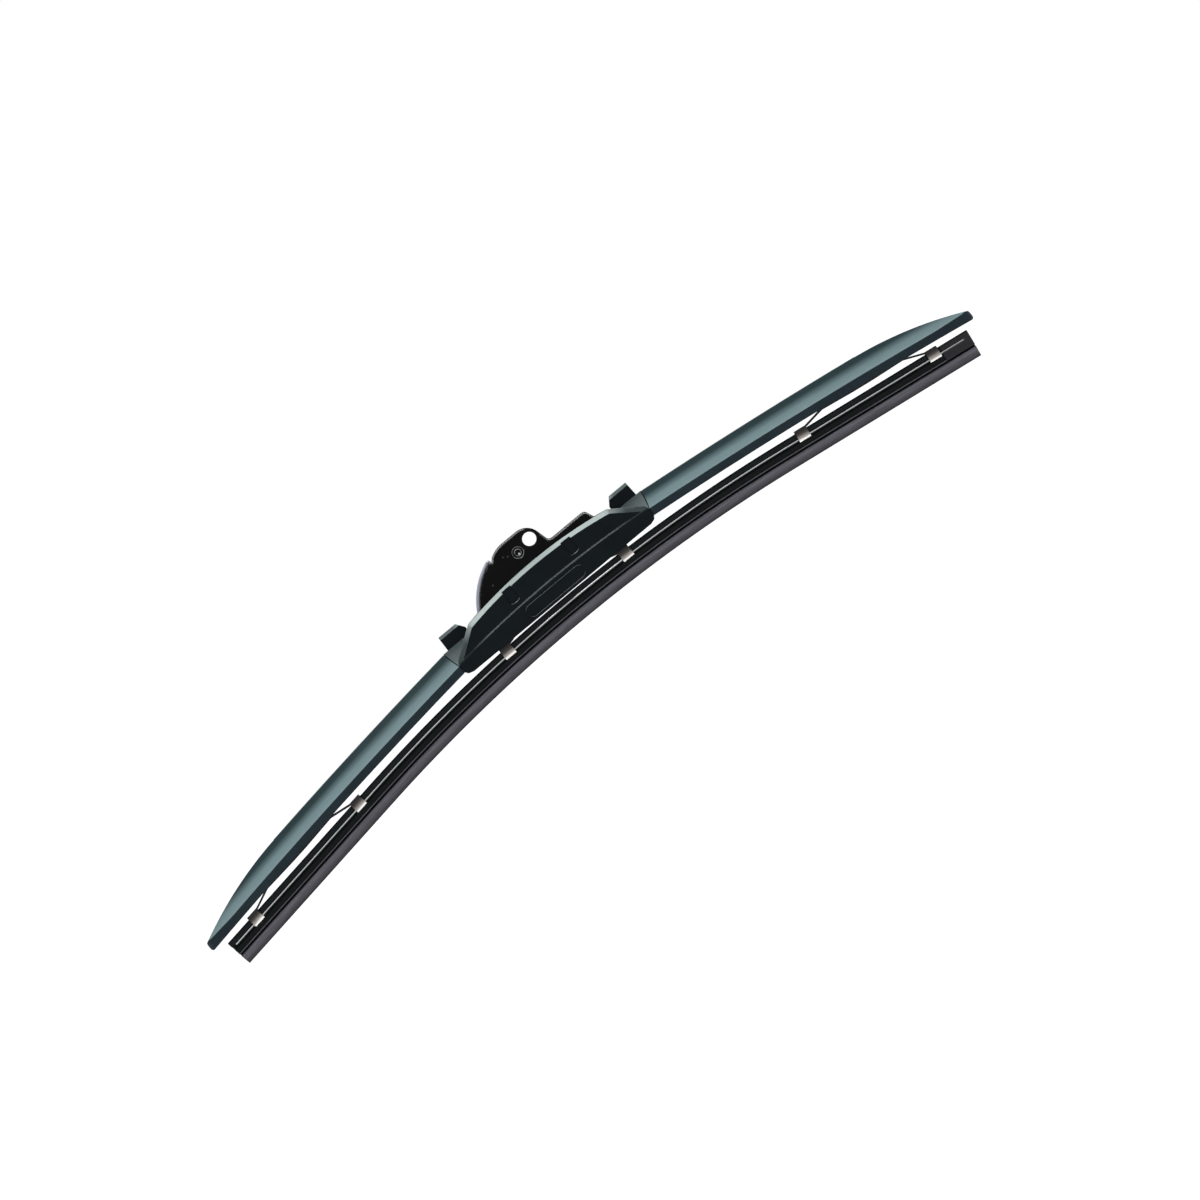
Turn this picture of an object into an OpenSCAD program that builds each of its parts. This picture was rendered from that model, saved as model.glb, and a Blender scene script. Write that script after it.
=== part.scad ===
// Three-section wiper blade: a stamped bracket in a centre cover, two hinged wings
// under spoiler covers, three rocking yokes and a rubber blade on two steel rails.
// Millimetres. Origin: centre of the arm pin's hole, midway between the bracket's
// ears. +X runs along the blade, +Z points away from the glass, the near side is -Y.

/* [Blade] */
// Distance from the arm pin's hole to the middle of the blade
hole_to_middle = 5.6; // [3:0.1:7]
// Length of the straight outer stretches of the rubber, of which the left one ends a little earlier
straight_len = 104.4; // [100:0.1:112]
// Radius of the curved middle stretch, at the rubber's top
bend_r = 864; // [700:1:1200]
// Half of the angle that the middle stretch bends through
bend_deg = 8.4; // [7.6:0.05:9]
// Depth of the rubber's top below the arm pin's hole, in the middle
rubber_drop = 32.1; // [31.8:0.1:34]

/* [Rubber] */
// Height of the rubber's head above the rails
head_h = 2.9; // [2.6:0.05:3.2]
// Half width of the head
head_w = 3.6; // [3.2:0.05:3.9]
// Height of the groove for the rails and the claws
groove_h = 1.85; // [1.8:0.05:2.2]
// Half width of the web between the two grooves
web_w = 1.4; // [1.1:0.05:1.7]
// Height of the body below the groove
body_h = 3.0; // [2.5:0.05:3.5]
// Half width of the body
body_w = 2.7; // [2.2:0.05:3]
// Height of the thin neck that lets the lip flip
neck_h = 1.1; // [0.8:0.05:1.4]
// Height of the wiping lip
lip_h = 5.2; // [4.5:0.05:6]
// Thickness of each steel rail
rail_t = 0.7; // [0.5:0.05:0.8]
// How far each rail stands out of the head's side
rail_proud = 0.35; // [0.2:0.05:0.5]
// Length of the moulded lock at the right end
lock_len = 15.4; // [13:0.1:15.6]

/* [Yokes] */
// Distance from a yoke's pin to the middle of each claw
claw_reach = 36.5; // [34:0.1:38]
// Length of a claw along the blade
claw_len = 6.2; // [5:0.1:7]
// Sheet thickness of the yokes
yoke_t = 0.9; // [0.8:0.05:1.1]
// Height of a yoke's pin above the rubber
yoke_pin_h = 5.6; // [5.4:0.05:5.8]
// Room between a yoke's wall and a lever's wall, which the liner fills
yoke_room = 0.5; // [0.4:0.05:0.6]
// Radius of a yoke's pin
yoke_pin_r = 1.2; // [1:0.05:1.25]

/* [Levers] */
// Sheet thickness of the wing levers
lever_t = 1.0; // [0.8:0.05:1.2]
// Half width of a wing lever
lever_w = 4.2; // [4:0.05:4.4]
// Distance from each wing's hinge to the end of the centre cover
hinge_inset = 10.4; // [10:0.1:10.8]
// Depth of each wing's hinge below the arm pin's hole
hinge_drop = 23.5; // [23:0.1:24]
// Radius of a hinge pin
hinge_pin_r = 1.9; // [1.6:0.05:2.1]

/* [Bracket] */
// Sheet thickness of the bracket
bracket_t = 1.5; // [1.2:0.05:1.8]
// Half width inside the bracket
bracket_w = 5.4; // [5.3:0.05:5.6]
// Diameter of the arm pin's hole
arm_hole_d = 6.9; // [6:0.1:8]
// Radius of the cross pin that carries the adapter
cross_pin_r = 2.3; // [2:0.05:2.5]

/* [Covers] */
// Wall thickness of the covers
wall = 1.4; // [1.2:0.05:1.6]
// Height of the near wall of a wing cover
crease_h = 4.0; // [3.6:0.05:4.4]
// Height of a wing cover up to its ridge
ridge_h = 13.0; // [12.8:0.05:13.6]
// Half length of the centre cover
cover_half = 58.4; // [58:0.1:58.6]
// Distance from the middle of the blade to each wing's tip
tip_x = 236; // [232:0.5:238]
// Gap between the centre cover and a wing cover
seam = 0.35; // [0.3:0.05:0.6]

/* [Fits] */
// Radial clearance of a pin in its hole
pin_gap = 0.05; // [0.03:0.01:0.08]
// Side clearance of the liners
side_gap = 0.05; // [0.03:0.01:0.08]
// Clearance of the claws round the rubber and rails
claw_gap = 0.2; // [0.15:0.05:0.3]

/* [Hidden] */
$fn = 48;
arc_fn = 1440;
far = 200;
overlap = 0.3;
middle_x = -hole_to_middle;
rubber_z = -rubber_drop;
arc_z = rubber_z - bend_r;
rail_out = head_w + rail_proud;
hinge_x = cover_half - hinge_inset;
yoke_w = lever_w - lever_t - yoke_room;
bracket_out = bracket_w + bracket_t;
groove_z = -head_h - groove_h;
ledge_z = groove_z - body_h;
neck_z = ledge_z - neck_h;
lip_z = neck_z - lip_h;
head_chamfer = 0.6;
ledge_h = 0.45;
ledge_w = body_w + 0.4;
ledge_slope = 0.1;
neck_w = 0.5;
lip_w = 2.9;
lip_flat = 0.7;
edge_w = 0.4;
rail_short = 2.5;
left_short = 1.2;
rail_end_gap = 1;
lock_wall = 0.25;
lock_top_z = -0.3;
slot_gap = 0.1;

// Side yokes sit on the straight stretches, with their outer claws just inside the lock
straight_x = bend_r * sin(bend_deg);
outer_claw_s = 84.9;
side_yoke_s = outer_claw_s - claw_reach;

// The centre yoke's claws lie where the curved stretch has dropped a little
centre_yoke_z = rubber_z - bend_r + sqrt(bend_r * bend_r - claw_reach * claw_reach);

// Wing covers follow one large arc
wing_r = 2750;
wing_mid_x = 145;
wing_mid_z = -40.2;
wing_mid_deg = 8.15;
wing_cx = wing_mid_x - wing_r * sin(wing_mid_deg);
wing_cz = wing_mid_z - wing_r * cos(wing_mid_deg);
wing_from_deg = 5.9;
wing_to_deg = 10.6;
wing_start_x = 50;
tip_top = [2.6, -48.9];
tip_top_round = 2.3;
tip_low = [1.6, -54.6];
tip_low_round = 1.6;
tip_plan_x = 5;
tip_plan_w = 6;
tip_plan_sag = 1.2;
tip_taper_x = 205;
rib_t = 1.2;
rib_pitch = 22;
rib_from_x = 70;
rib_to_x = 180;
tip_ribs_x = [200, 216];
rib_foot = 1.2;
tip_cut_r = 200;
tip_cut_x = 148.7;
tip_cut_top = -30;

// Section of the covers as [height, distance to the near side]
near_w = 11.2;
crease_w = 10.8;
crest = [ridge_h - 0.3, 0.2];
crease = [crease_h, crease_w];
ridge_back = [ridge_h, -0.9];
ridge_edge = [ridge_h - 0.5, -3];
back_bend = [ridge_h / 2, -8.3];
hollow_sag = 1.0;
far_w = 9.6;

// The seam leans outwards towards the far side, so that no light shows through it
seam_lean = 12;
seam_open = 0.65;
seam_reach = (near_w + far_w) * tan(seam_lean);

// Centre cover
base_z = -29.25;
skirt_z = -31.5;
rim_z = -8.85;
rim_end_x = cover_half - 15.4;
rim_end_z = -12.75;
ramp_x = cover_half - 0.9;
ramp_z = -22.8;
end_z = ramp_z - 1.6;
foot_x = cover_half - 3.6;
foot_z = skirt_z + 0.8;
opening_half = 40;
opening_w = 8.2;
fin_x = cover_half - 13.7;
fin_top_z = -8.65;
fin_low_z = -18;
fin_side = [[fin_x, fin_low_z], [fin_x, -12.8], [fin_x + 3, fin_top_z], [cover_half - 0.4, fin_top_z],
            [cover_half, fin_low_z]];
fin_section = [[fin_low_z, -4.8], [fin_top_z, -4.5], [fin_top_z, -2.9], [fin_top_z - 1.55, -1.3],
               [fin_low_z, -0.9]];
slit_from = [rim_end_x + 2.6, rim_end_z - 1.8];
slit_to = [rim_end_x + 10.6, rim_end_z - 7.3];
slit_w = 3;
slit_hole = [2.4, 1.2];
rim_h = 2.15;
rim_w = 2.0;
side_w = 10.7;
slot_x = 18.25;
slot_w = 5.4;
slot_top_z = -11;
slot_end_z = -19;
band_end_z = -24.9;
band_rise = 3.3;
band_step = 0.3;
cover_rib_x = 30;
cover_rib_z = -28;
cover_rib_h = 13;
pill_len = 35.4;
pill_h = 6.6;
pill_x = -0.5;
pill_z = -27.2;
pill_rim = 0.5;
slot_round = 1.6;
slot_deep = 0.8;

// Radius and centre of an arc from p to q that bulges to the left by sag
function bow_radius(p, q, sag) = (pow(norm(q - p) / 2, 2) + sag * sag) / (2 * sag);
function bow_centre(p, q, sag) =
    let (u = (q - p) / norm(q - p))
    (p + q) / 2 - [-u.y, u.x] * (bow_radius(p, q, sag) - sag);

// Points of that arc
function bow(p, q, sag, n = 12) =
    let (
        half = norm(q - p) / 2,
        r = bow_radius(p, q, sag),
        c = bow_centre(p, q, sag),
        start = atan2(p.y - c.y, p.x - c.x),
        turn = 2 * asin(half / r)
    )
    [for (i = [0 : n]) c + abs(r) * [cos(start - turn * i / n), sin(start - turn * i / n)]];

// A half outline and its mirror image
function both(half) = concat(half, [for (i = [len(half) - 1 : -1 : 0]) [half[i].x, -half[i].y]]);

// Placing helpers

// Moves to the blade's middle, mirrored for the left side
module on_side(side) {
    translate([middle_x, 0, 0]) mirror([side < 0 ? 1 : 0, 0, 0]) children();
}

// Extrudes a side view drawn as [x, z] across the blade, between two distances to the near side
module across(from_n, to_n) {
    translate([0, -from_n, 0]) rotate([90, 0, 0]) linear_extrude(to_n - from_n) children();
}

// Extrudes a section drawn as [height, near] along +X
module straight_run(length) {
    rotate([180, -90, 0]) linear_extrude(length) children();
}

// Sweeps a section drawn as [height, near] on an arc about +Y, angles from +Z towards +X
module sweep(r, from_deg, to_deg) {
    rotate([90, 0, 0]) rotate([0, 0, 90 - to_deg])
        rotate_extrude(angle = to_deg - from_deg, $fn = arc_fn) translate([r, 0]) children();
}

// Moves to a straight stretch of the rubber: x runs outwards from the bend, z is up from its top
module on_straight() {
    translate([0, 0, arc_z]) rotate([0, bend_deg, 0]) translate([0, 0, bend_r]) children();
}

// Moves to a side yoke, or to the centre yoke, on the rubber's top
module at_yoke(side) {
    if (side == 0) translate([middle_x, 0, centre_yoke_z]) children();
    else on_side(side) on_straight() translate([side_yoke_s, 0, 0]) children();
}

// A round bar across the blade
module bar(r, half, x = 0, z = 0) {
    translate([x, 0, z]) rotate([90, 0, 0]) cylinder(r = r, h = 2 * half, center = true);
}

// Rubber and rails

module rubber_section() {
    polygon(both([
        [0, head_w - head_chamfer], [-head_chamfer, head_w], [-head_h, head_w], [-head_h, web_w],
        [groove_z, web_w], [groove_z, body_w], [ledge_z + ledge_h + ledge_slope, body_w],
        [ledge_z + ledge_h, ledge_w], [ledge_z, ledge_w], [ledge_z, neck_w],
        [neck_z, neck_w], [neck_z, lip_w], [neck_z - lip_flat, lip_w], [lip_z, edge_w]
    ]));
}

module rail_section() {
    translate([-head_h - rail_t, web_w + side_gap]) square([rail_t, rail_out - web_w - side_gap]);
}

// A section that runs round the bend and out on both straight stretches
module strip(left_end, right_end) {
    translate([middle_x, 0, 0]) {
        translate([0, 0, arc_z]) sweep(bend_r, -bend_deg, bend_deg) children();
        on_straight() translate([-overlap, 0, 0]) straight_run(right_end + overlap) children();
        mirror([1, 0, 0]) on_straight() translate([-overlap, 0, 0])
            straight_run(left_end + overlap) children();
    }
}

module rubber_blade() {
    color([0.09, 0.1, 0.11]) {
        difference() {
            union() {
                strip(straight_len - left_short, straight_len) rubber_section();
                on_side(1) on_straight() translate([straight_len - lock_len, 0, 0]) lock();
            }
            on_side(1) on_straight() translate([straight_len - lock_len - 1, 0, 0]) rail_slots();
        }
    }
}

// The moulded lock that the outer claw snaps against
module lock() {
    translate([0, -rail_out - lock_wall, ledge_z])
        cube([lock_len, 2 * (rail_out + lock_wall), lock_top_z - ledge_z]);
}

// Slots for the rails' ends, cut in from one millimetre before the lock
module rail_slots() {
    for (s = [-1, 1])
        translate([0, s > 0 ? web_w : -rail_out - 1, -head_h - rail_t - slot_gap])
            cube([lock_len + 1 - rail_short, rail_out + 1 - web_w, rail_t + slot_gap]);
}

// One rail; it ends a little before the end of its slot in the lock
module rail() {
    color([0.82, 0.84, 0.82])
        strip(straight_len - left_short - rail_short, straight_len - rail_short - rail_end_gap)
            children();
}

module near_rail() {
    rail() rail_section();
}

module far_rail() {
    rail() mirror([0, 1, 0]) rail_section();
}

// Yokes, drawn about the point of the rubber's top below their pin

claw_w = rail_out + claw_gap + yoke_t;
pad_z = 0.3;
pad_w = yoke_w + 0.9;
ramp_end_x = 9;
bend_in = 0.4;
yoke_top_z = yoke_pin_h + 2.4;
narrow_x = 30;
hook_t = 0.7;
hook_gap = claw_gap + 0.05;
hook_z = -head_h - rail_t - hook_gap;
hook_in_w = web_w + 0.6;
claw_end_z = hook_z - hook_t;
claw_in_x = claw_reach - claw_len / 2;
claw_out_x = claw_reach + claw_len / 2;
flange_z = yoke_pin_h - 2.3;
belly_half = 5;
belly_drop = 0.5;

// The top strip of a yoke: a flat pad over each claw, a ramp and a flat crown
module yoke_strip() {
    for (s = [-1, 1])
        polygon([
            [0, yoke_top_z], [s * ramp_end_x, yoke_top_z], [s * claw_in_x, pad_z + yoke_t],
            [s * claw_out_x, pad_z + yoke_t], [s * claw_out_x, pad_z], [s * (claw_in_x - bend_in), pad_z],
            [s * (ramp_end_x - bend_in), yoke_top_z - yoke_t], [0, yoke_top_z - yoke_t]
        ]);
}

// One wall of a yoke's channel
module yoke_wall() {
    ramp_share = (yoke_top_z - flange_z) / (yoke_top_z - pad_z - yoke_t);
    low_x = ramp_end_x + (claw_in_x - ramp_end_x) * ramp_share;
    polygon([
        [-low_x, flange_z], [-belly_half, flange_z - belly_drop], [belly_half, flange_z - belly_drop],
        [low_x, flange_z], [ramp_end_x, yoke_top_z], [-ramp_end_x, yoke_top_z]
    ]);
}

// A claw's section: a cap over the head, two sides and two hooks under the rails
module claw_section() {
    difference() {
        translate([claw_end_z, -claw_w]) square([pad_z + yoke_t - claw_end_z, 2 * claw_w]);
        translate([hook_z, -claw_w + yoke_t]) square([pad_z - hook_z, 2 * (claw_w - yoke_t)]);
        translate([claw_end_z - 1, -hook_in_w]) square([hook_t + 2, 2 * hook_in_w]);
    }
}

module yoke(side) {
    color([0.2, 0.2, 0.2]) at_yoke(side) difference() {
        union() {
            across(-pad_w, pad_w) yoke_strip();
            across(yoke_w - yoke_t, yoke_w) yoke_wall();
            across(-yoke_w, -yoke_w + yoke_t) yoke_wall();
            for (x = [-claw_out_x, claw_in_x])
                translate([x, 0, 0]) straight_run(claw_len) claw_section();
        }
        for (s = [-1, 1])
            across(s > 0 ? yoke_w : -yoke_w - 2, s > 0 ? yoke_w + 2 : -yoke_w)
                translate([-narrow_x, -1]) square([2 * narrow_x, yoke_top_z + 2]);
        bar(yoke_pin_r + pin_gap, yoke_w + 1, 0, yoke_pin_h);
    }
}

// A pin with two formed heads just outside the walls that carry it
head_gap = 0.02;

module rivet(r, walls, head_r, head_t) {
    head_y = walls + head_gap + head_t / 2;
    bar(r, head_y);
    for (s = [-1, 1]) translate([0, s * head_y, 0]) bar(head_r, head_t / 2);
}

module yoke_pin(side) {
    holder = side == 0 ? bracket_out : lever_w;
    color([0.6, 0.6, 0.6]) at_yoke(side) translate([0, 0, yoke_pin_h])
        rivet(yoke_pin_r, holder, yoke_pin_r + 0.7, 0.6);
}

// Plastic side plates that keep a yoke from rattling in its carrier
module yoke_liner(side) {
    holder = side == 0 ? bracket_w : lever_w - lever_t;
    color([0.75, 0.73, 0.68]) at_yoke(side) difference() {
        union() {
            for (s = [-1, 1]) {
                from_n = s > 0 ? yoke_w + side_gap : -holder + side_gap;
                across(from_n, from_n + holder - yoke_w - 2 * side_gap) liner_plate();
            }
            across(-holder + side_gap, holder - side_gap) liner_bridge();
        }
        bar(yoke_pin_r + pin_gap, 10, 0, yoke_pin_h);
    }
}

liner_half = 5;
liner_low_z = flange_z + 0.6;
liner_bridge_z = yoke_top_z + 0.3;
liner_bridge_t = 0.35;
liner_top_z = yoke_top_z + 0.55;

module liner_plate() {
    polygon([
        [-liner_half, liner_low_z], [liner_half, liner_low_z],
        [liner_half, liner_top_z], [-liner_half, liner_top_z]
    ]);
}

module liner_bridge() {
    translate([-liner_half, liner_bridge_z]) square([2 * liner_half, liner_bridge_t]);
}

// Wing levers, drawn from the hinge towards the yoke's pin

pin_x = straight_x + side_yoke_s * cos(bend_deg) + yoke_pin_h * sin(bend_deg);
pin_z = arc_z + bend_r * cos(bend_deg) - side_yoke_s * sin(bend_deg) + yoke_pin_h * cos(bend_deg);
lever_len = norm([pin_x - hinge_x, pin_z + hinge_drop]);
lever_deg = atan2(-hinge_drop - pin_z, pin_x - hinge_x);
lever_eye_r = 3.1;
lever_tail = 9;
lever_low = 1.6;
lever_neck = 2.6;
lever_high = 4.2;
lever_slope = 2;
lever_web_x = 12;
washer_r = lever_eye_r + 0.2;
bridge_w = 3;
bridge_t = 0.7;

module on_lever(side) {
    on_side(side) translate([hinge_x, 0, -hinge_drop]) rotate([0, lever_deg, 0]) children();
}

// Top edge of the lever: low under the seam, then close under the cover's hollow side
lever_top = [
    [0, 2.4], [3, 2], [6, 1], [14, 0.9], [22, 1.9], [42, 3.2], [lever_len - 30, lever_high],
    [lever_len + lever_tail - lever_slope, lever_high]
];

module lever_outline(drop = 0) {
    polygon(concat(
        [for (p = lever_top) p - [0, drop]],
        [[lever_len + lever_tail, lever_high - lever_slope - drop], [lever_len + lever_tail, -0.6],
         [lever_len + 3, -lever_low], [2 * lever_web_x, -lever_low], [lever_web_x, -lever_neck],
         [0, -lever_neck]]
    ));
}

module lever(side) {
    color([0.13, 0.13, 0.14]) on_lever(side) difference() {
        union() {
            across(-lever_w, lever_w) lever_outline();
            bar(lever_eye_r, lever_w);
        }
        across(-lever_w + lever_t, lever_w - lever_t) {
            translate([0, -far]) square([far, far]);
            lever_outline(lever_t);
            translate([lever_web_x - far, -far]) square([far, 2 * far]);
            translate([lever_len + lever_tail - lever_slope, -far]) square([far, 2 * far]);
        }
        bar(hinge_pin_r + pin_gap, 10);
        bar(yoke_pin_r + pin_gap, 10, lever_len, 0);
    }
}

module hinge_pin(side) {
    color([0.6, 0.6, 0.6]) on_lever(side)
        rivet(hinge_pin_r, bracket_out, hinge_pin_r + 1, 0.8);
}

// Plastic washers joined by a bridge over the lever's end
module hinge_liner(side) {
    color([0.75, 0.73, 0.68]) on_lever(side) difference() {
        union() {
            for (s = [-1, 1]) {
                from_n = s > 0 ? lever_w + side_gap : -bracket_w + side_gap;
                across(from_n, from_n + bracket_w - lever_w - 2 * side_gap) {
                    circle(r = washer_r);
                    translate([-bridge_w / 2, 0]) square([bridge_w, lever_eye_r + 0.1 + bridge_t]);
                }
            }
            across(-bracket_w + side_gap, bracket_w - side_gap)
                translate([-bridge_w / 2, lever_eye_r + 0.1]) square([bridge_w, bridge_t]);
        }
        bar(hinge_pin_r + pin_gap, 10);
    }
}

// Bracket, drawn as [x, z] about the arm pin's hole

left_hinge = [middle_x - hinge_x, -hinge_drop];
right_hinge = [middle_x + hinge_x, -hinge_drop];
hinge_boss_r = 3.4;
nose_low = [left_hinge.x + 12.1, -11];
nose_high = [-22.3, 5];
nose_sag = 2.2;
nose_bend = 2;
nose_notch = [[-21.4, 4.4], [-21.2, 2.7]];
ear_front = [[-19.4, 4.6], [-12.7, 6.7]];
ear_back = [[-2.6, 6.7], [5.3, 0.2]];
ear_foot = [[6.5, -4.6], [7.1, -5.8], [8.5, -6.35]];
rear_corner = [[26.8, -6.35], [29.3, -8.2]];
shoulder = [right_hinge.x - 12, -11];
fork_x = 6.8;
fork_z = 7.9;
roof_gap = 1.2;
bracket_low = -hinge_drop - 5;
cross_pin_at = [-8.3, -1.4];
dimple_r = 1.6;

module bracket_outline() {
    polygon(concat(
        [left_hinge + [0, hinge_boss_r], left_hinge + [fork_x, fork_z]],
        bow(nose_low, nose_high, nose_sag),
        nose_notch,
        bow(ear_front[0], ear_front[1], 0.35, 5),
        bow(ear_back[0], ear_back[1], 1.7, 10),
        ear_foot,
        bow(rear_corner[0], rear_corner[1], 0.5, 5),
        [shoulder, right_hinge + [-fork_x, fork_z], right_hinge + [0, hinge_boss_r],
         right_hinge + [0, -hinge_boss_r], [right_hinge.x - 12.4, bracket_low],
         [left_hinge.x + 11.6, bracket_low], left_hinge + [0, -hinge_boss_r]]
    ));
}

// The space between the ears, open upwards past the nose
module bracket_space() {
    inset = [bracket_t * 0.75, -bracket_t * 0.8];
    roof_z = -hinge_drop + lever_eye_r + roof_gap;
    polygon(concat(
        [[-80, roof_z], [left_hinge.x + fork_x - 2.8, roof_z], left_hinge + [fork_x + 0.8, fork_z - 1.3]],
        bow(nose_low + inset, nose_high + inset, nose_sag),
        [nose_high + inset + [0, 20], shoulder + [-bracket_t, 20], shoulder + [-bracket_t, -1.2],
         right_hinge + [-fork_x - 0.8, fork_z - 1.3], [right_hinge.x - fork_x + 2.8, roof_z],
         [80, roof_z], [80, -60], [-80, -60]]
    ));
}

// The pressed nose turns into the ears with a round bend
module nose_rounding() {
    c = bow_centre(nose_low, nose_high, nose_sag);
    r = norm(nose_low - c);
    from_deg = atan2(nose_low.x - c.x, nose_low.y - c.y) - 1;
    to_deg = atan2(nose_high.x - c.x, nose_high.y - c.y) + 1;
    translate([c.x, 0, c.y]) sweep(r, from_deg, to_deg)
        for (s = [-1, 1]) difference() {
            translate([-nose_bend, s > 0 ? bracket_out - nose_bend : -bracket_out - 1])
                square(nose_bend + 1);
            translate([-nose_bend, s * (bracket_out - nose_bend)]) circle(r = nose_bend);
        }
}

module bracket() {
    color([0.06, 0.06, 0.06]) difference() {
        union() {
            across(-bracket_out, bracket_out) bracket_outline();
            bar(hinge_boss_r, bracket_out, left_hinge.x, left_hinge.y);
            bar(hinge_boss_r, bracket_out, right_hinge.x, right_hinge.y);
        }
        across(-bracket_w, bracket_w) bracket_space();
        nose_rounding();
        bar(arm_hole_d / 2, 20);
        bar(cross_pin_r + pin_gap, 20, cross_pin_at.x, cross_pin_at.y);
        bar(hinge_pin_r + pin_gap, 20, left_hinge.x, left_hinge.y);
        bar(hinge_pin_r + pin_gap, 20, right_hinge.x, right_hinge.y);
        bar(yoke_pin_r + pin_gap, 20, middle_x, centre_yoke_z + yoke_pin_h);
    }
}

// The adapter clips on this pin, between the hole and the nose
module cross_pin() {
    color([0.1, 0.1, 0.1]) translate([cross_pin_at.x, 0, cross_pin_at.y]) difference() {
        rivet(cross_pin_r, bracket_out, cross_pin_r + 0.55, 0.5);
        for (s = [-1, 1]) translate([0, s * (bracket_out + 1.2), 0]) bar(dimple_r, 0.9);
    }
}

// Section of the covers

hollow_c = bow_centre(crest, crease, hollow_sag);
hollow_r = bow_radius(crest, crease, hollow_sag);

module section(inset = 0, foot = 0) {
    difference() {
        polygon([
            [-foot, near_w - inset], [crease.x, crease.y - inset], crest + [-inset, inset * 0.2],
            ridge_back - [inset, 0], ridge_edge - [inset, 0], back_bend + [0, inset],
            [-foot, inset - far_w]
        ]);
        translate(hollow_c) circle(r = hollow_r + inset, $fn = 96);
    }
}

// Wing covers

module wing_sweep() {
    translate([wing_cx, 0, wing_cz]) sweep(wing_r, wing_from_deg, wing_to_deg) children();
}

// All that lies beyond the leaning seam; open_deg tips its plane outwards towards the top
module beyond_seam(gap = 0, open_deg = 0) {
    reach = 260;
    translate([cover_half + gap, -near_w, base_z]) rotate([0, open_deg, -seam_lean])
        translate([0, -reach, -reach / 2]) cube([reach, 2 * reach, reach]);
}

// Side view that the cover keeps: it falls towards the tip, whose corners are rounded
module wing_side(inset = 0) {
    end_x = tip_x - inset;
    intersection() {
        polygon(concat(
            [[wing_start_x, -80], [wing_start_x, 0], [end_x - tip_top.x, 0]],
            bow([end_x - tip_top.x, tip_top.y - inset], [end_x, tip_top.y - tip_top_round - inset],
                0.7, 6),
            bow([end_x, tip_low.y + tip_low_round], [end_x - tip_low.x, tip_low.y], 0.45, 6),
            [[end_x - tip_low.x, -80]]
        ));
        union() {
            translate([0, -100]) square([180, 100]);
            translate([tip_cut_x, tip_cut_top - tip_cut_r]) circle(r = tip_cut_r - inset, $fn = 720);
        }
    }
}

// Plan view: the tip is rounded and a little narrower
module wing_plan(inset = 0) {
    end_x = tip_x - inset;
    linear_extrude(2 * far, center = true) polygon(concat(
        [[wing_start_x, -near_w - 1], [tip_taper_x, -near_w - 1]],
        bow([end_x - tip_plan_x, inset - near_w + 1.8], [end_x, inset - near_w + tip_plan_w],
            -tip_plan_sag, 6),
        bow([end_x, far_w - 5 - inset], [end_x - tip_plan_x, far_w - 1.5 - inset], -tip_plan_sag, 6),
        [[tip_taper_x, far_w + 1], [wing_start_x, far_w + 1]]
    ));
}

module wing_cover(side) {
    color([0.16, 0.19, 0.2]) on_side(side) difference() {
        intersection() {
            wing_sweep() section();
            across(-far, far) wing_side();
            wing_plan();
            beyond_seam(seam, seam_open);
        }
        difference() {
            intersection() {
                wing_sweep() section(wall, 3);
                across(-far, far) translate([-1, 0]) union() {
                    wing_side(wall);
                    translate([wing_start_x, -60]) square([40, 60]);
                }
                wing_plan(wall);
            }
            wing_ribs();
        }
    }
}

// Cross ribs that rest on the lever and stiffen the cover
module wing_ribs() {
    for (x = [rib_from_x : rib_pitch : rib_to_x])
        intersection() {
            rib_slab(x);
            difference() {
                wing_sweep() section(wall - 0.2);
                translate([hinge_x, 0, -hinge_drop]) rotate([0, lever_deg, 0]) rib_clearance();
            }
        }
    for (x = tip_ribs_x)
        intersection() {
            rib_slab(x);
            translate([0, 0, 4.6]) wing_sweep() section(wall - 0.2);
        }
}

module rib_slab(x) {
    translate([x, -far / 2, -far]) cube([rib_t, far, far]);
}

// The lever and all below it stay clear of the ribs, which end above the lever's lower edge
module rib_clearance() {
    beyond = lever_len + 40;
    across(-lever_w - 0.1, lever_w + 0.1)
        polygon(concat(
            [[0, -30]], [for (p = lever_top) p + [0, 0.1]],
            [[beyond, lever_high + 0.1], [beyond, -30]]
        ));
    translate([75, -far / 2, -30]) cube([beyond - 75, far, 30 + rib_foot]);
}

// Centre cover, drawn about the blade's middle

module cover_side(drop = 0, skirt = 0) {
    ramp_in = drop * 0.7;
    rim_in = drop * 0.3;
    polygon(concat(
        [[-cover_half, base_z - skirt], [-cover_half, end_z - drop], [ramp_in - ramp_x, ramp_z - drop]],
        bow([rim_in - rim_end_x, rim_end_z - drop], [rim_end_x - rim_in, rim_end_z - drop],
            rim_z - rim_end_z, 20),
        [[ramp_x - ramp_in, ramp_z - drop], [cover_half, end_z - drop], [cover_half, base_z - skirt],
         [cover_half - 1, foot_z - skirt], [foot_x, skirt_z - skirt],
         [-foot_x, skirt_z - skirt], [1 - cover_half, foot_z - skirt]]
    ));
}

// The light bevel along the near rim and down the ramps
module rim_bevel() {
    slice = 0.4;
    hull() {
        across(side_w - rim_w - slice, side_w - rim_w) cover_side();
        across(side_w - slice, side_w) cover_side(rim_h);
    }
}

// Both ends of the cover have the section of the wings
module saddle(inset = 0, foot = 0) {
    from_x = rim_end_x - 3;
    for (s = [0, 1])
        mirror([s, 0, 0]) translate([from_x, 0, base_z])
            straight_run(cover_half + seam_reach - from_x + inset) section(inset, foot);
}

// A fin stands on each end of the cover, behind its ridge
module fins() {
    for (s = [0, 1])
        mirror([s, 0, 0]) intersection() {
            across(-near_w, near_w) polygon(fin_side);
            straight_run(cover_half) polygon(fin_section);
        }
}

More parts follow.
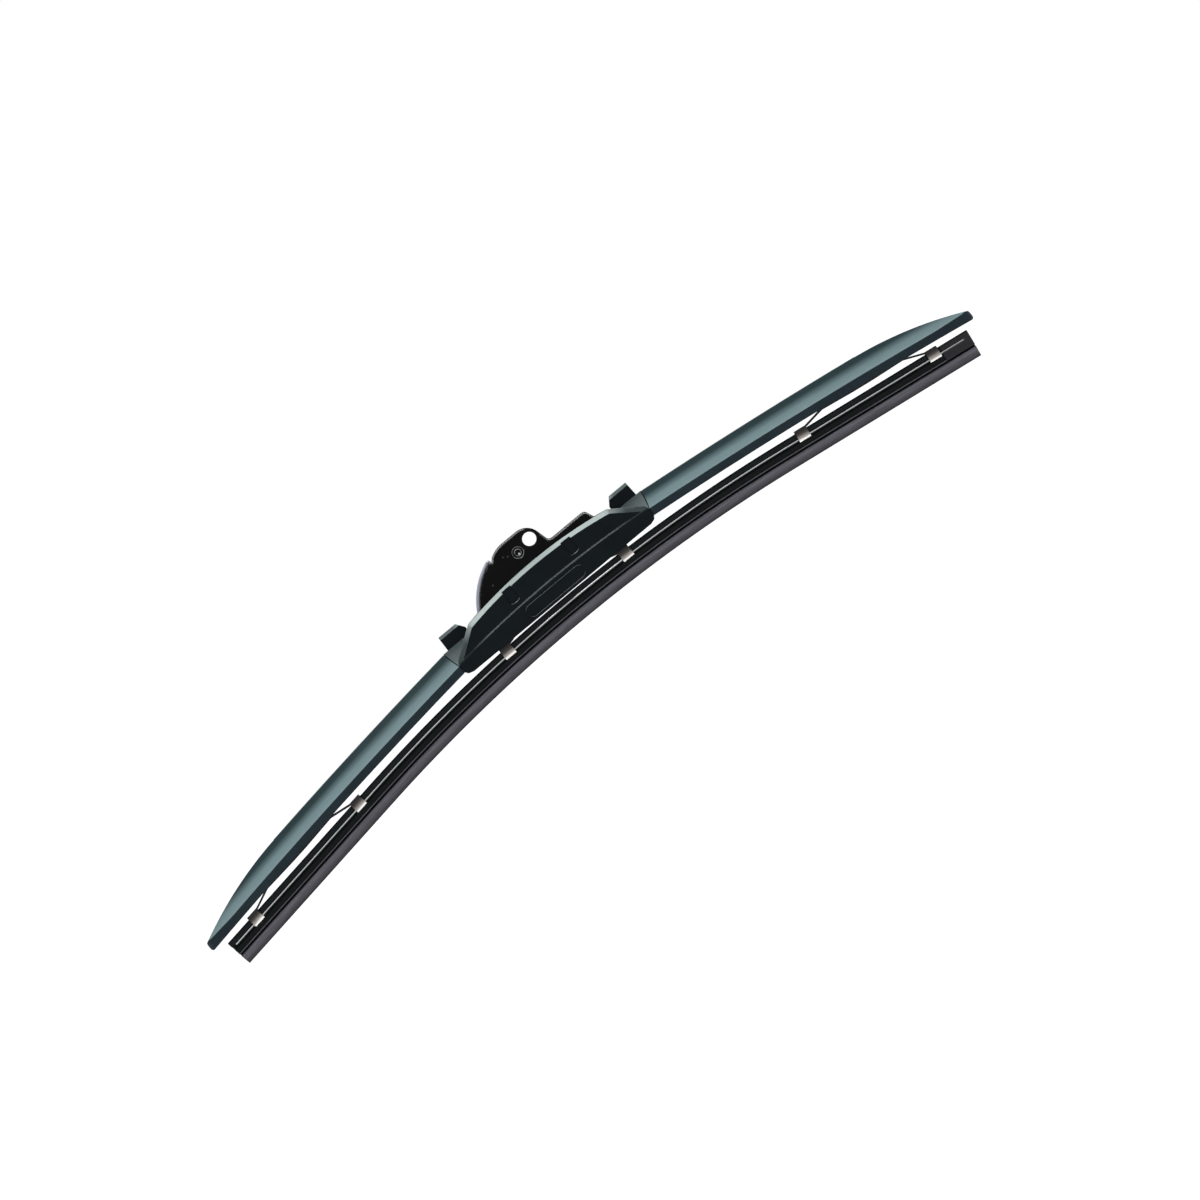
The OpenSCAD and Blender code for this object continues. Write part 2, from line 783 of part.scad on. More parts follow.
// The lower band stands a little proud of the near wall; its curved top edge rises in small steps
module lower_band() {
    steps = 3;
    proud = near_w - side_w;
    for (i = [1 : steps])
        across(side_w - 1, side_w + proud * i / steps) intersection() {
            cover_side();
            translate([0, band_step * (steps - i)]) polygon(concat(
                bow([-cover_half, band_end_z], [cover_half, band_end_z], band_rise, 20),
                [[cover_half, -40], [-cover_half, -40]]
            ));
        }
}

// A slit behind the right ramp, with a small hole at its outer end
module ramp_slit() {
    back_w = side_w - rim_w;
    across(back_w - 0.4, back_w)
        polygon([slit_from + [0, slit_w], slit_to + [0, slit_w], slit_to - [0, 1], slit_from - [0, 1]]);
    across(back_w - wall, back_w + 0.3)
        translate(slit_to + [slit_hole.x / 4, -slit_hole.y]) square(slit_hole);
}

module pill(grow = 0) {
    reach = (pill_len - pill_h) / 2;
    translate([pill_x, pill_z]) {
        for (s = [-1, 1]) translate([s * reach, 0]) circle(r = pill_h / 2 + grow);
        translate([-reach, -pill_h / 2 - grow]) square([2 * reach, pill_h + 2 * grow]);
    }
}

// A clip slot is open at the rim and has round lower corners
module clip_slot() {
    corner_x = slot_w / 2 - slot_round;
    translate([-slot_w / 2, slot_end_z + slot_round])
        square([slot_w, slot_top_z - slot_end_z - slot_round]);
    for (x = [-corner_x, corner_x]) translate([x, slot_end_z + slot_round]) circle(r = slot_round);
    translate([-corner_x, slot_end_z]) square([2 * corner_x, slot_round]);
}

module cover_hollow() {
    across(wall - far_w, side_w - wall) difference() {
        cover_side(wall, 6);
        for (s = [-1, 1]) translate([s * (cover_half + 1), 0]) square([2 * (wall + 1), far], center = true);
    }
    saddle(wall, 6);
    translate([-opening_half, -opening_w, -20]) cube([2 * opening_half, 2 * opening_w, 40]);
}

// Cross ribs that hold the cover on the bracket's sides
module cover_ribs() {
    inner = bracket_out + 0.1;
    sunk = 0.4;
    for (x = [-cover_rib_x, cover_rib_x], s = [-1, 1])
        translate([x - rib_t / 2, s > 0 ? inner : -side_w + sunk, cover_rib_z])
            cube([rib_t, (s > 0 ? far_w : side_w) - sunk - inner, cover_rib_h]);
}

module centre_cover() {
    color([0.11, 0.12, 0.13]) translate([middle_x, 0, 0]) {
        difference() {
            union() {
                across(-far_w, side_w - rim_w) cover_side();
                rim_bevel();
                saddle();
                fins();
                lower_band();
                across(near_w - 0.2, near_w + 0.2) pill();
            }
            cover_hollow();
            for (s = [0, 1]) mirror([s, 0, 0]) beyond_seam();
            ramp_slit();
            across(near_w, near_w + 2) pill(-pill_rim);
            for (s = [-1, 1])
                translate([s * slot_x, 0, 0]) across(side_w - slot_deep, side_w + 2) clip_slot();
        }
        cover_ribs();
    }
}

bracket();
cross_pin();
centre_cover();
wing_cover(-1);  // left_cover
wing_cover(1);  // right_cover
lever(-1);  // left_lever
lever(1);  // right_lever
hinge_pin(-1);  // left_hinge_pin
hinge_pin(1);  // right_hinge_pin
hinge_liner(-1);  // left_hinge_liner
hinge_liner(1);  // right_hinge_liner
yoke(-1);  // left_yoke
yoke(0);  // centre_yoke
yoke(1);  // right_yoke
yoke_pin(-1);  // left_yoke_pin
yoke_pin(0);  // centre_yoke_pin
yoke_pin(1);  // right_yoke_pin
yoke_liner(-1);  // left_yoke_liner
yoke_liner(0);  // centre_yoke_liner
yoke_liner(1);  // right_yoke_liner
rubber_blade();
near_rail();
far_rail();
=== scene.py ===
"""The wiper blade dressed for its picture: finishes, the bending rubber and rails, a studio."""

import math

import bpy
from mathutils import Matrix, Vector


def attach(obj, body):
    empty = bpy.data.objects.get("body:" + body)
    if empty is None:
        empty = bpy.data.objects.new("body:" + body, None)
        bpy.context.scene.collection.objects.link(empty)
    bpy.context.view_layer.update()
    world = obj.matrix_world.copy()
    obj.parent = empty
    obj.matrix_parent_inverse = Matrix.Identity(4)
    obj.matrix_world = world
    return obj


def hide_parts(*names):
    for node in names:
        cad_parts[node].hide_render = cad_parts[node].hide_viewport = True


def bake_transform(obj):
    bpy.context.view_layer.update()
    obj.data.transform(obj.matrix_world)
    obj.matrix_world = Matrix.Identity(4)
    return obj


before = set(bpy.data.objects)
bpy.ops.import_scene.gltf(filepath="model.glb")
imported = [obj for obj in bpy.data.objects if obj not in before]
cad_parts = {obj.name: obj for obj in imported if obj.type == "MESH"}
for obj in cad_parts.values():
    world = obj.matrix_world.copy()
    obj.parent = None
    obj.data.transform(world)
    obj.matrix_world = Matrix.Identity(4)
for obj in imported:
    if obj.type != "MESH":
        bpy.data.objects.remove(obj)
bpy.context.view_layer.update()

MM = 0.001


# Camera, as the photograph sees the blade: from its near side, rolled so that the blade runs downhill

ROLL = math.radians(39.75)
ELEVATION = math.radians(1.4)
CAMERA_DISTANCE = 4.0
PHOTO_WIDTH = 0.5724
SENSOR_WIDTH = 36.0
LOOK_AT = Vector((0.0073, 0.0, -0.0440))


def add_camera():
    data = bpy.data.cameras.new("camera")
    data.sensor_width = SENSOR_WIDTH
    data.lens = SENSOR_WIDTH * CAMERA_DISTANCE / PHOTO_WIDTH
    data.clip_start = 0.05
    data.clip_end = 50.0
    camera = bpy.data.objects.new("camera", data)
    bpy.context.collection.objects.link(camera)
    back = Vector((0.0, -math.cos(ELEVATION), math.sin(ELEVATION)))
    level_right = Vector((1.0, 0.0, 0.0))
    level_up = back.cross(level_right)
    right = level_right * math.cos(ROLL) - level_up * math.sin(ROLL)
    up = level_right * math.sin(ROLL) + level_up * math.cos(ROLL)
    camera.matrix_world = Matrix((
        (right.x, up.x, back.x, 0.0),
        (right.y, up.y, back.y, 0.0),
        (right.z, up.z, back.z, 0.0),
        (0.0, 0.0, 0.0, 1.0),
    ))
    camera.location = LOOK_AT + back * CAMERA_DISTANCE
    bpy.context.scene.camera = camera


# Node helpers

# Noise runs mostly between these two values
CLOUD_LOW = 0.3
CLOUD_HIGH = 0.7

# The mix node has several sockets of each name; these are its colour ones
MIX_FIRST_COLOUR = 6
MIX_SECOND_COLOUR = 7
MIX_RESULT_COLOUR = 2


class Shader:
    """A Principled material that is built up from texture nodes."""

    def __init__(self, name, roughness=0.5, metallic=0.0, specular=0.5):
        self.material = bpy.data.materials.new(name)
        self.material.use_nodes = True
        self.nodes = self.material.node_tree.nodes
        self.links = self.material.node_tree.links
        self.bsdf = self.nodes["Principled BSDF"]
        self.bsdf.inputs["Roughness"].default_value = roughness
        self.bsdf.inputs["Metallic"].default_value = metallic
        self.bsdf.inputs["Specular IOR Level"].default_value = specular

    def node(self, kind, **settings):
        made = self.nodes.new(kind)
        for key, value in settings.items():
            setattr(made, key, value)
        return made

    def join(self, source, target):
        self.links.new(source, target)

    def place(self, stretch=(1.0, 1.0, 1.0)):
        """The point on the object, in metres of its own frame, stretched per axis."""
        where = self.node("ShaderNodeTexCoord")
        mapping = self.node("ShaderNodeMapping")
        mapping.inputs["Scale"].default_value = stretch
        self.join(where.outputs["Object"], mapping.inputs["Vector"])
        return mapping.outputs["Vector"]

    def noise(self, vector, scale, detail=3.0):
        texture = self.node("ShaderNodeTexNoise")
        texture.inputs["Scale"].default_value = scale
        texture.inputs["Detail"].default_value = detail
        self.join(vector, texture.inputs["Vector"])
        return texture.outputs["Fac"]

    def spread(self, value, low, high, to_low, to_high):
        """Maps value from low..high to to_low..to_high, held at both ends."""
        mapped = self.node("ShaderNodeMapRange", clamp=True)
        mapped.inputs["From Min"].default_value = low
        mapped.inputs["From Max"].default_value = high
        mapped.inputs["To Min"].default_value = to_low
        mapped.inputs["To Max"].default_value = to_high
        self.join(value, mapped.inputs["Value"])
        return mapped.outputs["Result"]

    def colours(self, value, *stops):
        """A colour ramp; each stop is a position and a linear colour."""
        ramp = self.node("ShaderNodeValToRGB")
        elements = ramp.color_ramp.elements
        while len(elements) < len(stops):
            elements.new(0.5)
        for element, (position, colour) in zip(elements, stops):
            element.position = position
            element.color = (*colour, 1.0)
        self.join(value, ramp.inputs["Fac"])
        return ramp.outputs["Color"]

    def vary(self, cloud, low, high):
        """A value that wanders from low to high with a cloud of noise."""
        return self.spread(cloud, CLOUD_LOW, CLOUD_HIGH, low, high)

    def mottle(self, cloud, low, high):
        """A colour that wanders from low to high with a cloud of noise."""
        return self.colours(cloud, (CLOUD_LOW, low), (CLOUD_HIGH, high))

    def band(self, value, start, full, hold, stop):
        """1 between full and hold, falling to 0 at start and stop."""
        rise = self.spread(value, start, full, 0.0, 1.0)
        fall = self.spread(value, hold, stop, 1.0, 0.0)
        return self.math("MULTIPLY", rise, fall)

    def blend_colours(self, factor, first, second):
        mix = self.node("ShaderNodeMix", data_type="RGBA")
        self.join(factor, mix.inputs["Factor"])
        self.join(first, mix.inputs[MIX_FIRST_COLOUR])
        self.join(second, mix.inputs[MIX_SECOND_COLOUR])
        return mix.outputs[MIX_RESULT_COLOUR]

    def math(self, operation, first, second):
        made = self.node("ShaderNodeMath", operation=operation)
        for socket, value in zip(made.inputs, (first, second)):
            if isinstance(value, (int, float)):
                socket.default_value = value
            else:
                self.join(value, socket)
        return made.outputs["Value"]

    def rounded(self, radius):
        """The surface's direction, with sharp edges read as rounded to the radius."""
        made = self.node("ShaderNodeBevel", samples=6)
        made.inputs["Radius"].default_value = radius
        return made.outputs["Normal"]

    def bump(self, height, distance, strength=1.0, over=None):
        """Surface grain, on top of the direction given in over."""
        made = self.node("ShaderNodeBump")
        made.inputs["Distance"].default_value = distance
        made.inputs["Strength"].default_value = strength
        self.join(height, made.inputs["Height"])
        if over is not None:
            self.join(over, made.inputs["Normal"])
        self.join(made.outputs["Normal"], self.bsdf.inputs["Normal"])

    def towards(self, direction, axis):
        """How far a direction points along an axis of the object, such as "Z" for up."""
        split = self.node("ShaderNodeSeparateXYZ")
        self.join(direction, split.inputs["Vector"])
        return split.outputs[axis]

    def near_edge(self, direction):
        """How far a rounded direction leaves the surface's own: 0 on a face, up to 0.3 at its edge."""
        own = self.node("ShaderNodeNewGeometry").outputs["Normal"]
        made = self.node("ShaderNodeVectorMath", operation="DOT_PRODUCT")
        self.join(own, made.inputs[0])
        self.join(direction, made.inputs[1])
        return self.math("SUBTRACT", 1.0, made.outputs["Value"])

    def distance_from(self, centre):
        """Distance in the side view from a line across the blade, which goes through centre."""
        made = self.node("ShaderNodeVectorMath", operation="DISTANCE")
        self.join(self.place((1.0, 0.0, 1.0)), made.inputs[0])
        made.inputs[1].default_value = (centre[0] * MM, 0.0, centre[1] * MM)
        return made.outputs["Value"]

    def spot(self, centre, size, strength=1.0):
        """A round mark in the side view; size holds the radius where it is whole and where it ends."""
        whole, end = size
        return self.spread(self.distance_from(centre), whole * MM, end * MM, strength, 0.0)

    def colour_from(self, output):
        self.join(output, self.bsdf.inputs["Base Color"])

    def roughness_from(self, output):
        self.join(output, self.bsdf.inputs["Roughness"])


def grey(level, tint=(1.0, 1.0, 1.0)):
    """A linear colour of that brightness, tinted."""
    return tuple(level * t for t in tint)


# Tints, as shares of red, green and blue; TEAL, DEEP_TEAL, DUSK, SEA_GREY and LAVENDER tint painted
# light and shade
COOL = (0.72, 1.0, 1.05)
LAVENDER = (0.96, 0.98, 1.2)
SEA_GREY = (0.87, 1.0, 0.965)
TEAL = (0.63, 1.0, 1.06)
DEEP_TEAL = (0.4, 1.0, 1.15)
NIGHT = (0.64, 1.0, 1.22)
DUSK = (0.68, 1.0, 1.1)
GRAPHITE = (1.0, 0.97, 1.12)

# Places and lengths are in millimetres from here on, until points or sockets are made with MM

# The blade's middle, along the blade from the arm's hole
MIDDLE_X = -5.6

# The arc that the wing covers follow, from the blade's middle
WING_RADIUS = 2750.0
WING_CENTRE_X = -244.86
WING_CENTRE_Z = -2762.43

# Heights above that arc between which a painted shade darkens a wing's slope under the ridge
SHADE_LOW = 7.2
SHADE_HIGH = 10.4

# The centre cover: height of its rim, how far from its middle its ends get a painted shade, how far its
# clip slots are from its middle, and the painted highlight on the lower corner of each slot
RIM_MIDDLE_Z = -12.0
ENDS_FROM = 40.0
ENDS_FULL = 50.0
CLIP_SLOT_X = 18.25
CLIP_CORNER_RIGHT = 1.3
CLIP_CORNER_Z = -17.6
CLIP_CORNER_SIZE = (2.2, 2.6)

# Heights above the rubber's top between which a yoke's finish changes, from the painted reflection on
# its claws to its dark arms
CLAW_LOW = -4.6
CLAW_HIGH = 1.6


# Finishes

# Places in the side view: the painted glint in the riveted pin's hollow head, the middle of the arm's
# hole with the zone round it that stays black, free of painted highlights, and the faint pale spots
# painted at the press marks on the ear
PAINTED_GLINT = (-8.2, -2.3)
PAINTED_GLINT_SIZE = (0.35, 0.6)
HOLE = (0.0, 0.0)
HOLE_ZONE = (5.1, 5.5)
PRESS_MARKS = ((-15.3, 1.3), (-13.3, 0.1), (-27.5, -5.9))
MARK_SIZE = (0.2, 0.6)
MARK_STRENGTH = 0.07


def painted_ring_highlight(shader, near, up):
    """A painted highlight on the edge of a round head, brightest at its top and foot, and a painted
    glint in its hollow.
    """
    upright = shader.spread(shader.math("ABSOLUTE", up, 0.0), 0.05, 0.3, 0.2, 0.7)
    edge = shader.math("MULTIPLY", shader.spread(near, 0.004, 0.03, 0.0, 1.0), upright)
    return shader.math("MAXIMUM", edge, shader.spot(PAINTED_GLINT, PAINTED_GLINT_SIZE))


def painted_upper_edge_highlight(shader, near, up):
    """A painted highlight: a line just inside the edges that face the sky."""
    inside = shader.band(near, 0.012, 0.025, 0.08, 0.14)
    return shader.math("MULTIPLY", inside, shader.spread(up, 0.05, 0.12, 0.0, 1.0))


def painted_bend_highlight(shader, rounded):
    """A painted highlight on the bend between an ear, which faces sideways, and the nose web, which
    faces the blade's left.
    """
    sideways = shader.math("ABSOLUTE", shader.towards(rounded, "Y"), 0.0)
    forward = shader.spread(shader.towards(rounded, "X"), -0.3, -0.12, 1.0, 0.0)
    return shader.math("MULTIPLY", forward, shader.spread(sideways, 0.1, 0.3, 0.0, 1.0))


def gloss_paint(name, level, glint, radius, nose=False, ring=False):
    """Glossy black paint over pressed steel, with a painted highlight line just inside its upper edges.

    With a nose its bend gets a painted highlight too. With a ring the whole edge of a round head gets
    a painted highlight, and its hollow a painted glint.
    """
    shader = Shader(name, specular=0.05)
    place = shader.place()
    rounded = shader.rounded(radius)
    up = shader.towards(rounded, "Z")
    near = shader.near_edge(rounded)
    edge = painted_ring_highlight(shader, near, up) if ring else painted_upper_edge_highlight(shader, near, up)
    cloud = shader.noise(place, 90.0)
    paint = shader.mottle(cloud, grey(level * 0.8), grey(level * 1.2))
    # lit: the colour of the painted highlights and glints
    lit = shader.mottle(cloud, grey(glint * 0.8), grey(glint * 1.2))
    if nose:
        from_hole = shader.math("SUBTRACT", 1.0, shader.spot(HOLE, HOLE_ZONE))
        edge = shader.math("MULTIPLY", edge, from_hole)
    colour = shader.blend_colours(edge, paint, lit)
    if nose:
        # Faint pale spots in the painted highlights' colour at the ear's press marks
        for mark in PRESS_MARKS:
            colour = shader.blend_colours(shader.spot(mark, MARK_SIZE, MARK_STRENGTH), colour, lit)
        # A pale lavender highlight painted on the bend, away from the hole
        bend = shader.math("MULTIPLY", painted_bend_highlight(shader, rounded), from_hole)
        bend_highlight = shader.mottle(cloud, grey(0.27, LAVENDER), grey(0.32, LAVENDER))
        colour = shader.blend_colours(bend, colour, bend_highlight)
    shader.colour_from(colour)
    shader.roughness_from(shader.vary(cloud, 0.14, 0.22))
    shader.bump(shader.noise(place, 700.0), 0.02 * MM, 0.3, rounded)
    return shader.material


def wing_shade(shader, cloud, arc_centre, pale):
    """Paints shade on the upper part of a wing's slope, under its ridge."""
    height = shader.math("SUBTRACT", shader.distance_from(arc_centre), WING_RADIUS * MM)
    under_ridge = shader.spread(height, SHADE_LOW * MM, SHADE_HIGH * MM, 0.0, 1.0)
    # shade: the painted shade under the ridge
    shade = shader.mottle(cloud, grey(0.026, DEEP_TEAL), grey(0.032, DEEP_TEAL))
    return shader.blend_colours(under_ridge, pale, shade)


def centre_shade(shader, cloud, up, flat_level, pale):
    """Paints shade on the centre cover's level faces and ends, and paints a highlight on the corners of
    its clip slots.
    """
    # flat: painted shade on the level faces and the ends
    flat = shader.mottle(cloud, grey(flat_level * 0.9, DUSK), grey(flat_level * 1.1, DUSK))
    from_middle = shader.distance_from((MIDDLE_X, RIM_MIDDLE_Z))
    ends = shader.spread(from_middle, ENDS_FROM * MM, ENDS_FULL * MM, 0.0, 0.9)
    level = shader.spread(up, 0.86, 0.93, 0.0, 1.0)
    pale = shader.blend_colours(shader.math("MAXIMUM", ends, level), pale, flat)
    for slot_x in (-CLIP_SLOT_X, CLIP_SLOT_X):
        corner = (MIDDLE_X + slot_x + CLIP_CORNER_RIGHT, CLIP_CORNER_Z)
        # bright: a near-white painted highlight on each slot's lower corner
        bright = shader.mottle(cloud, grey(0.9), grey(1.0))
        pale = shader.blend_colours(shader.spot(corner, CLIP_CORNER_SIZE), pale, bright)
    return pale


def moulded_plastic(name, wall, top, turn, radius, tint, arc_centre=None, flat_level=None):
    """Satin moulded plastic with a fine grain; what slopes to the sky is painted paler than the walls,
    as painted light.

    The change from wall to slope lies between the two values of turn. An arc centre is given for a
    wing, whose slope gets painted shade under the ridge, and a flat level for the centre cover's
    painted shade.
    """
    shader = Shader(name, specular=0.05)
    place = shader.place()
    rounded = shader.rounded(radius)
    up = shader.towards(rounded, "Z")
    cloud = shader.noise(place, 60.0, 4.0)
    dark = shader.mottle(cloud, grey(wall * 0.85, NIGHT), grey(wall * 1.15, NIGHT))
    # pale: the painted lit colour of the slopes
    pale = shader.mottle(cloud, grey(top * 0.92, tint), grey(top * 1.08, tint))
    if arc_centre is not None:
        pale = wing_shade(shader, cloud, arc_centre, pale)
    if flat_level is not None:
        pale = centre_shade(shader, cloud, up, flat_level, pale)
    # Painted light: the faces that slope up get the paler colour, the walls the dark one
    sky = shader.spread(up, turn[0], turn[1], 0.0, 1.0)
    shader.colour_from(shader.blend_colours(sky, dark, pale))
    shader.roughness_from(shader.vary(cloud, 0.38, 0.48))
    shader.bump(shader.noise(place, 2500.0, 2.0), 0.03 * MM, 0.5, rounded)
    return shader.material


def rivet_steel(level, roughness):
    """Bare steel with a fine grain."""
    shader = Shader("rivet_steel", metallic=1.0)
    streaks = shader.noise(shader.place(), 400.0)
    shader.colour_from(shader.mottle(streaks, grey(level * 0.88), grey(level * 1.1)))
    shader.roughness_from(shader.vary(streaks, roughness - 0.05, roughness + 0.06))
    shader.bump(streaks, 0.01 * MM, 0.3)
    return shader.material


def yoke_steel(name, base, up):
    """A pressed yoke: dark arms, and claws whose colour is painted to brighten downwards to a bare
    hook, as a painted reflection.
    """
    shader = Shader(name, metallic=0.7)
    place = shader.node("ShaderNodeTexCoord").outputs["Object"]
    offset = shader.node("ShaderNodeVectorMath", operation="SUBTRACT")
    shader.join(place, offset.inputs[0])
    offset.inputs[1].default_value = base
    height = shader.node("ShaderNodeVectorMath", operation="DOT_PRODUCT")
    shader.join(offset.outputs["Vector"], height.inputs[0])
    height.inputs[1].default_value = up
    climb = shader.spread(height.outputs["Value"], CLAW_LOW * MM, CLAW_HIGH * MM, 0.0, 1.0)
    streaks = shader.noise(shader.place((0.3, 1.0, 1.0)), 500.0)
    # Painted reflection: the lower on a claw, the lighter its colour
    painted_reflection_height = shader.math("ADD", climb, shader.vary(streaks, -0.03, 0.03))
    shader.colour_from(shader.colours(
        painted_reflection_height,
        (0.0, (0.85, 0.83, 0.8)),
        (0.14, (0.8, 0.78, 0.75)),
        (0.2, (0.36, 0.33, 0.31)),
        (0.5, (0.055, 0.048, 0.044)),
        (0.7, (0.018, 0.016, 0.015)),
        (1.0, (0.01, 0.01, 0.01)),
    ))
    shader.roughness_from(shader.vary(streaks, 0.3, 0.42))
    shader.bump(streaks, 0.01 * MM, 0.3, shader.rounded(0.4 * MM))
    return shader.material


def liner_plastic():
    """Undyed slippery plastic."""
    shader = Shader("natural_plastic", specular=0.4)
    cloud = shader.noise(shader.place(), 200.0)
    shader.colour_from(shader.mottle(cloud, (0.46, 0.43, 0.36), (0.54, 0.51, 0.44)))
    shader.roughness_from(shader.vary(cloud, 0.42, 0.55))
    return shader.material


def strip_place(shader):
    """The point on the rubber: along the strip, and down from its top, both in millimetres."""
    where = shader.node("ShaderNodeUVMap", uv_map="strip")
    split = shader.node("ShaderNodeSeparateXYZ")
    shader.join(where.outputs["UV"], split.inputs["Vector"])
    return split.outputs["X"], split.outputs["Y"]


def rubber_finish():
    """Black rubber; the lip and the ledge above it have a paler, slightly streaky graphite coat. The
    head above the rails is a little lighter, as a painted highlight.
    """
    shader = Shader("rubber", specular=0.08)
    along, down = strip_place(shader)
    place = shader.node("ShaderNodeCombineXYZ")
    shader.join(shader.math("MULTIPLY", along, 0.05), place.inputs["X"])
    shader.join(down, place.inputs["Y"])
    streaks = shader.noise(place.outputs["Vector"], 1.2, 4.0)
    # head: a painted highlight above the rails, lighter than the side
    head = shader.mottle(streaks, grey(0.009, COOL), grey(0.016, COOL))
    side = shader.mottle(streaks, grey(0.003, COOL), grey(0.007, COOL))
    body = shader.blend_colours(shader.spread(down, RAIL_TOP - 0.4, RAIL_TOP, 0.0, 1.0), head, side)
    coat = shader.mottle(streaks, grey(0.085, GRAPHITE), grey(0.135, GRAPHITE))
    edge = shader.mottle(streaks, grey(0.025, GRAPHITE), grey(0.04, GRAPHITE))
    lip = shader.blend_colours(shader.spread(down, LIP_TOP + 1.4, LIP_TOP + 4.8, 0.0, 1.0), coat, edge)
    on_lip = shader.spread(down, LIP_TOP - 0.05, LIP_TOP + 0.05, 0.0, 1.0)
    ledge = shader.band(down, LEDGE_TOP - 0.05, LEDGE_TOP + 0.1, LEDGE_LOW - 0.05, LEDGE_LOW + 0.05)
    shader.colour_from(shader.blend_colours(
        ledge, shader.blend_colours(on_lip, body, lip), coat))
    shader.roughness_from(shader.vary(streaks, 0.5, 0.62))
    shader.bump(streaks, 0.02 * MM, 0.4)
    return shader.material


# The rubber strip and its rails

RUBBER_TOP = -32.1
BEND_RADIUS = 864.0
BEND_ANGLE = math.radians(8.4)
STRAIGHT_LENGTH = 104.4
BEND_LENGTH = BEND_RADIUS * BEND_ANGLE
HALF_LENGTH = BEND_LENGTH + STRAIGHT_LENGTH
LEFT_SHORT = 1.2
LEDGE_TOP = 7.2
LEDGE_LOW = 7.75
LIP_TOP = 8.85

# Outline of one half of the section: distance below the top, and half width
RUBBER_OUTLINE = (
    (0.0, 2.8), (0.1, 3.2), (0.6, 3.6), (2.75, 3.6), (2.9, 3.45), (2.9, 1.4), (3.6, 1.4), (4.75, 1.4),
    (4.75, 2.6), (4.85, 2.7), (7.1, 2.7), (7.2, 2.8), (7.3, 3.1), (7.75, 3.1), (7.75, 0.5), (8.85, 0.5),
    (8.85, 2.8), (8.95, 2.9), (9.5, 2.9), (9.62, 2.8), (11.6, 1.7), (14.05, 0.4),
)

# The rails in the grooves; each ends a little short of the rubber, at the left and at the right
RAIL_INNER = 1.45
RAIL_OUTER = 3.95
RAIL_TOP = 2.9
RAIL_THICKNESS = 0.7
RAIL_CORNER = 0.12
RAIL_SHORT = (2.5, 3.5)

# The longest step between two sections of the strip
STATION_STEP = 2.5

# The lock at the right end, and the slots for the rails in its sides
LOCK_LENGTH = 15.4
LOCK_OUT = 4.2
LOCK_TOP = 0.3
LOCK_LOW = 7.75
LOCK_CORNER = 0.2
SLOT_TOP = 2.6
SLOT_LOW = 3.2
SLOT_INNER = 3.7
SLOT_CORNER = 0.15
SLOT_LIP = 0.6
SLOT_END = HALF_LENGTH - RAIL_SHORT[1]

# The centre yoke's claws from the blade's middle, and each side yoke from the end of the bend
CLAW_REACH = 36.5
SIDE_YOKE = 48.4


def strip_point(along, down, out):
    """A point of the strip: along it from its middle, down from its top, out to the near side."""
    turn = max(-BEND_ANGLE, min(BEND_ANGLE, along / BEND_RADIUS))
    rest = along - turn * BEND_RADIUS
    radius = BEND_RADIUS - down
    x = MIDDLE_X + radius * math.sin(turn) + rest * math.cos(turn)
    z = RUBBER_TOP - BEND_RADIUS + radius * math.cos(turn) - rest * math.sin(turn)
    return Vector((x * MM, -out * MM, z * MM))


def stations(start, end):
    """Even steps along the strip."""
    count = max(2, math.ceil(abs(end - start) / STATION_STEP))
    return [start + (end - start) * i / count for i in range(count + 1)]


def swept(name, outline, start, end, finish, closed_start, closed_end):
    """A piece of the strip with one closed section, from start to end along it."""
    points = []
    flat = []
    faces = []
    around = len(outline)
    rows = stations(start, end)
    for along in rows:
        for down, out in outline:
            points.append(strip_point(along, down, out))
            flat.append((along, down))
    for row in range(len(rows) - 1):
        for i in range(around):
            j = (i + 1) % around
            a = row * around
            b = a + around
            faces.append((a + i, a + j, b + j, b + i))
    if closed_start:
        faces.append(tuple(range(around)))
    if closed_end:
        last = (len(rows) - 1) * around
        faces.append(tuple(last + i for i in reversed(range(around))))
    mesh = bpy.data.meshes.new(name)
    mesh.from_pydata(points, [], faces)
    layer = mesh.uv_layers.new(name="strip")
    for loop in mesh.loops:
        layer.data[loop.index].uv = flat[loop.vertex_index]
    mesh.materials.append(finish)
    mesh.update()
    piece = bpy.data.objects.new(name, mesh)
    bpy.context.collection.objects.link(piece)
    return piece


def whole_section(half):
    """The closed outline from one half: down the near side and up the far side."""
    return [(down, out) for down, out in half] + [(down, -out) for down, out in reversed(half)]


def rail_section(side):
    """The closed outline of the near rail, 1, or the far rail, -1, with its outer corners cut."""
    low = RAIL_TOP + RAIL_THICKNESS
    corners = [
        (RAIL_TOP, RAIL_INNER),
        (low, RAIL_INNER),
        (low, RAIL_OUTER - RAIL_CORNER),
        (low - RAIL_CORNER, RAIL_OUTER),
        (RAIL_TOP + RAIL_CORNER, RAIL_OUTER),
        (RAIL_TOP, RAIL_OUTER - RAIL_CORNER),
    ]
    return [(down, side * out) for down, out in corners]


# Where the strip passes from one body to the next, in millimetres from its middle
CENTRE_CLAW = 40.0
TO_CENTRE = 66.0
TO_WING = 98.0
TO_YOKE = 134.0


def strip_spans(end):
    """The stretches of one half: start, end, the two bodies, and the ends of the bend between them."""
    return (
        ("inner", 0.0, TO_CENTRE, "centre_yoke", "centre", CENTRE_CLAW, TO_CENTRE),
        ("hinge", TO_CENTRE, TO_WING, "centre", "wing", TO_CENTRE, TO_WING),
        ("outer", TO_WING, end, "wing", "yoke", TO_WING, TO_YOKE),
    )


def lay_strip(name, node, section, ends, finish):
    """One strip in six stretches, three to a side."""
    for side, sign, end in (("left", -1, ends[0]), ("right", 1, ends[1])):
        for label, start, stop, first, second, bend_from, bend_to in strip_spans(end):
            piece = swept(f"{name}_{side}_{label}", section, sign * start, sign * stop, finish,
                          False, label == "outer")
            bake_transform(piece)
            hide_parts(node)


